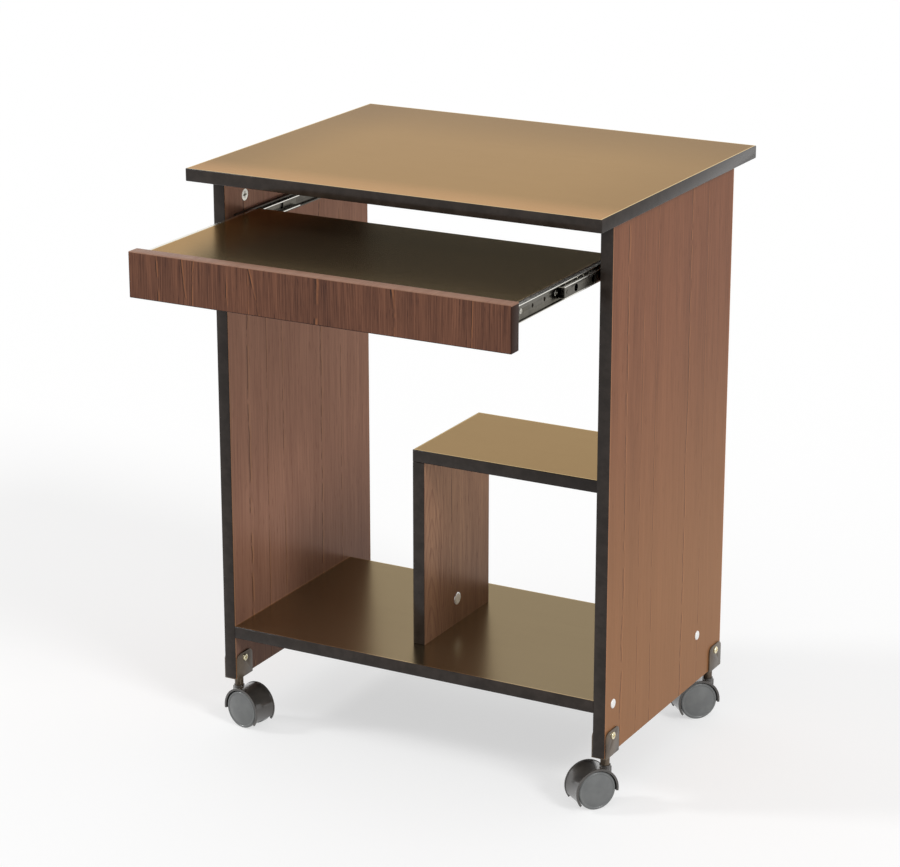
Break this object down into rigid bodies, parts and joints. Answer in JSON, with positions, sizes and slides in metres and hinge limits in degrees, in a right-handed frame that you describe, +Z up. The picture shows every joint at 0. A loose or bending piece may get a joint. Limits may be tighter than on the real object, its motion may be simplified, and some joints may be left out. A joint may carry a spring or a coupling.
{
  "type": "computer table",
  "caption": "Rolling computer table: worktop on two side panels, bottom shelf, raised half-width shelf on an upright, keyboard tray on ball slides, twin-wheel swivel casters.",
  "frame": {"origin": "on the floor, under the middle of the whole table's outline with the tray as pictured", "axes": "+X to the user's right, +Y from the front (tray) to the back, +Z up; metres"},
  "size_m": [0.5682, 0.617, 0.75],
  "materials": {
    "laminate": "semi-gloss brown wood-grain laminate",
    "edge_band": "satin black edge banding",
    "fascia": "semi-gloss dark walnut laminate",
    "dowel": "plain beech",
    "zinc": "zinc plated",
    "rail": "zinc-plated rolled steel",
    "cap": "white push-in plastic",
    "bracket": "satin dark brown",
    "hood": "semi-gloss dark brown",
    "wheel": "semi-gloss dark grey nylon"
  },
  "bodies": {
    "frame": {"top_board": "laminate", "top_edge_bands": "edge_band", "left_panel": "laminate", "left_panel_edge_bands": "edge_band", "right_panel": "laminate", "right_panel_edge_bands": "edge_band", "bottom_shelf": "laminate", "bottom_shelf_edge_bands": "edge_band", "small_shelf": "laminate", "small_shelf_edge_bands": "edge_band", "upright": "laminate", "upright_edge_bands": "edge_band", "dowels": "dowel", "cam_housings": "zinc", "cam_bolts": "zinc", "cam_cover": "cap", "shelf_screws": "zinc", "screw_caps": "cap", "cabinet_rail_left": "rail", "cabinet_rail_right": "rail", "cabinet_rail_screws": "zinc", "bracket_front_left": "bracket", "bracket_front_right": "bracket", "bracket_back_left": "bracket", "bracket_back_right": "bracket", "bracket_bolts": "zinc", "bracket_sleeve_nuts": "zinc", "caster_stems": "bracket"},
    "tray": {"tray_board": "laminate", "tray_edge_bands": "edge_band", "tray_fascia": "fascia", "fascia_edge_bands": "fascia", "tray_dowels": "dowel", "tray_cam_housings": "zinc", "tray_cam_bolts": "zinc", "tray_rail_left": "rail", "tray_rail_right": "rail", "tray_rail_screws": "zinc"},
    "middle_rails": {"middle_rail_left": "rail", "middle_rail_right": "rail"},
    "outer_cages": {"outer_ball_cages": "rail", "outer_balls": "zinc"},
    "inner_cages": {"inner_ball_cages": "rail", "inner_balls": "zinc"},
    "caster_front_left": {"hood_front_left": "hood", "axle_front_left": "zinc"},
    "wheel_front_left_a": {"wheel_front_left_a": "wheel"},
    "wheel_front_left_b": {"wheel_front_left_b": "wheel"},
    "caster_front_right": {"hood_front_right": "hood", "axle_front_right": "zinc"},
    "wheel_front_right_a": {"wheel_front_right_a": "wheel"},
    "wheel_front_right_b": {"wheel_front_right_b": "wheel"},
    "caster_back_left": {"hood_back_left": "hood", "axle_back_left": "zinc"},
    "wheel_back_left_a": {"wheel_back_left_a": "wheel"},
    "wheel_back_left_b": {"wheel_back_left_b": "wheel"},
    "caster_back_right": {"hood_back_right": "hood", "axle_back_right": "zinc"},
    "wheel_back_right_a": {"wheel_back_right_a": "wheel"},
    "wheel_back_right_b": {"wheel_back_right_b": "wheel"}
  },
  "joints": [
    {"name": "tray_slide", "type": "slide", "parent": "frame", "child": "tray", "axis": [0, -1, 0], "range_m": [-0.215, 0.035]},
    {"name": "middle_rail_slide", "type": "slide", "parent": "frame", "child": "middle_rails", "axis": [0, -1, 0], "range_m": [-0.1075, 0.0175]},
    {"name": "outer_cage_roll", "type": "slide", "parent": "frame", "child": "outer_cages", "axis": [0, -1, 0], "range_m": [-0.05375, 0.00875]},
    {"name": "inner_cage_roll", "type": "slide", "parent": "frame", "child": "inner_cages", "axis": [0, -1, 0], "range_m": [-0.16125, 0.02625]},
    {"name": "swivel_front_left", "type": "hinge", "parent": "frame", "child": "caster_front_left", "pos_m": [-0.264, -0.0735, 0.051], "axis": [0, 0, 1], "continuous": true},
    {"name": "roll_front_left_a", "type": "hinge", "parent": "caster_front_left", "child": "wheel_front_left_a", "pos_m": [-0.24636, -0.07709, 0.025], "axis": [0.1994, 0.9799, 0], "continuous": true},
    {"name": "roll_front_left_b", "type": "hinge", "parent": "caster_front_left", "child": "wheel_front_left_b", "pos_m": [-0.24636, -0.07709, 0.025], "axis": [0.1994, 0.9799, 0], "continuous": true},
    {"name": "swivel_front_right", "type": "hinge", "parent": "frame", "child": "caster_front_right", "pos_m": [0.264, -0.0735, 0.051], "axis": [0, 0, 1], "continuous": true},
    {"name": "roll_front_right_a", "type": "hinge", "parent": "caster_front_right", "child": "wheel_front_right_a", "pos_m": [0.25299, -0.08774, 0.025], "axis": [0.7912, -0.6115, 0], "continuous": true},
    {"name": "roll_front_right_b", "type": "hinge", "parent": "caster_front_right", "child": "wheel_front_right_b", "pos_m": [0.25299, -0.08774, 0.025], "axis": [0.7912, -0.6115, 0], "continuous": true},
    {"name": "swivel_back_left", "type": "hinge", "parent": "frame", "child": "caster_back_left", "pos_m": [-0.264, 0.2395, 0.051], "axis": [0, 0, 1], "continuous": true},
    {"name": "roll_back_left_a", "type": "hinge", "parent": "caster_back_left", "child": "wheel_back_left_a", "pos_m": [-0.25299, 0.25374, 0.025], "axis": [-0.7912, 0.6115, 0], "continuous": true},
    {"name": "roll_back_left_b", "type": "hinge", "parent": "caster_back_left", "child": "wheel_back_left_b", "pos_m": [-0.25299, 0.25374, 0.025], "axis": [-0.7912, 0.6115, 0], "continuous": true},
    {"name": "swivel_back_right", "type": "hinge", "parent": "frame", "child": "caster_back_right", "pos_m": [0.264, 0.2395, 0.051], "axis": [0, 0, 1], "continuous": true},
    {"name": "roll_back_right_a", "type": "hinge", "parent": "caster_back_right", "child": "wheel_back_right_a", "pos_m": [0.25145, 0.2266, 0.025], "axis": [0.7169, -0.6972, 0], "continuous": true},
    {"name": "roll_back_right_b", "type": "hinge", "parent": "caster_back_right", "child": "wheel_back_right_b", "pos_m": [0.25145, 0.2266, 0.025], "axis": [0.7169, -0.6972, 0], "continuous": true}
  ],
  "couplings": [
    {"joint": "middle_rail_slide", "follows": "tray_slide", "ratio": 0.5},
    {"joint": "outer_cage_roll", "follows": "tray_slide", "ratio": 0.25},
    {"joint": "inner_cage_roll", "follows": "tray_slide", "ratio": 0.75}
  ]
}
